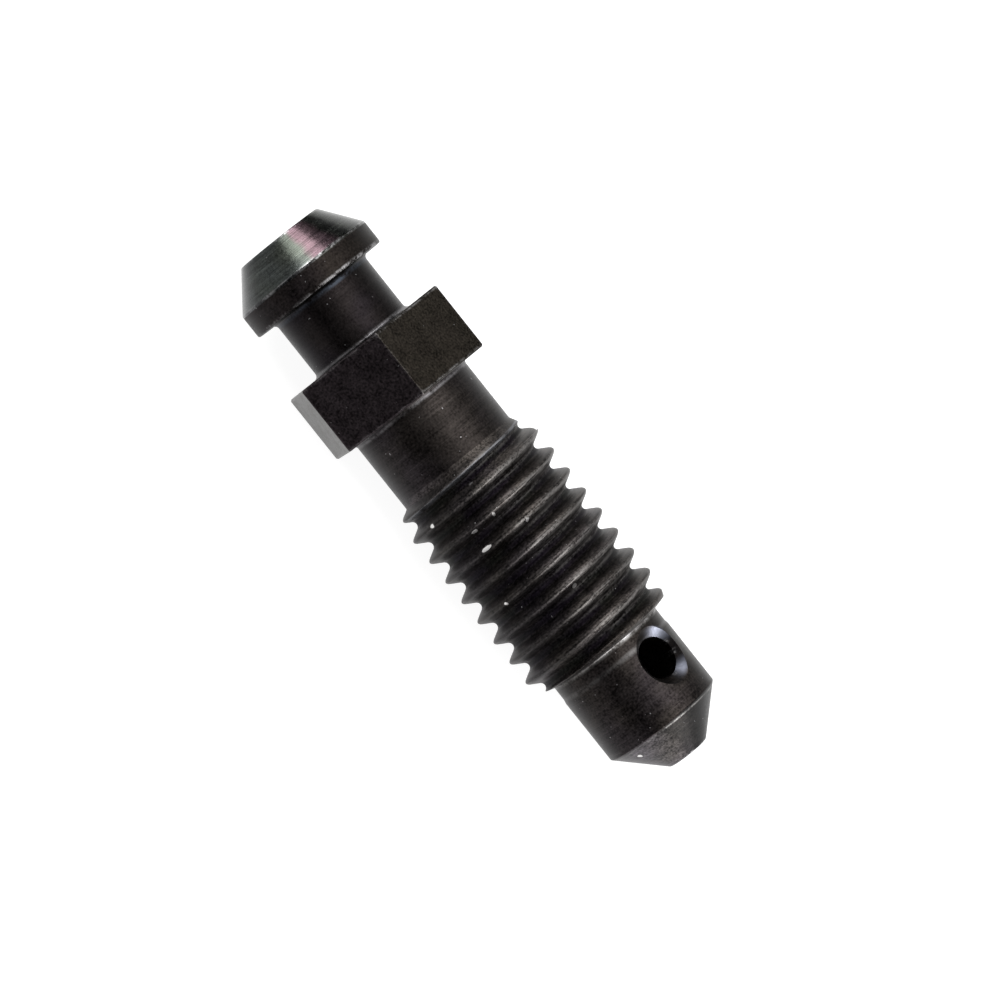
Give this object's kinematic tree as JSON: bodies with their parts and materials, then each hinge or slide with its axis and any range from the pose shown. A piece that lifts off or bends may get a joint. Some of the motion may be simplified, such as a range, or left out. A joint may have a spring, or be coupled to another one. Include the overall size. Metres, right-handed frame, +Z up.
{
  "type": "bleeder screw",
  "caption": "Bleeder screw lying on its hexagon: hose nipple, neck, hexagon, shank, coarse right-hand thread, cross-drilled tip and sealing cone.",
  "frame": {"origin": "on the surface that the screw lies on, below the middle of its length and its axis", "axes": "+X along the axis from the hose nipple to the sealing cone, +Z up, square to the two flats of the hexagon that lie level"},
  "size_m": [0.0382, 0.0116, 0.01],
  "materials": {
    "black_oxide_steel": "black oxide on turned steel, satin, with fine turning marks and bright worn edges"
  },
  "bodies": {
    "root": {"bleeder_screw": "black_oxide_steel"}
  },
  "joints": []
}
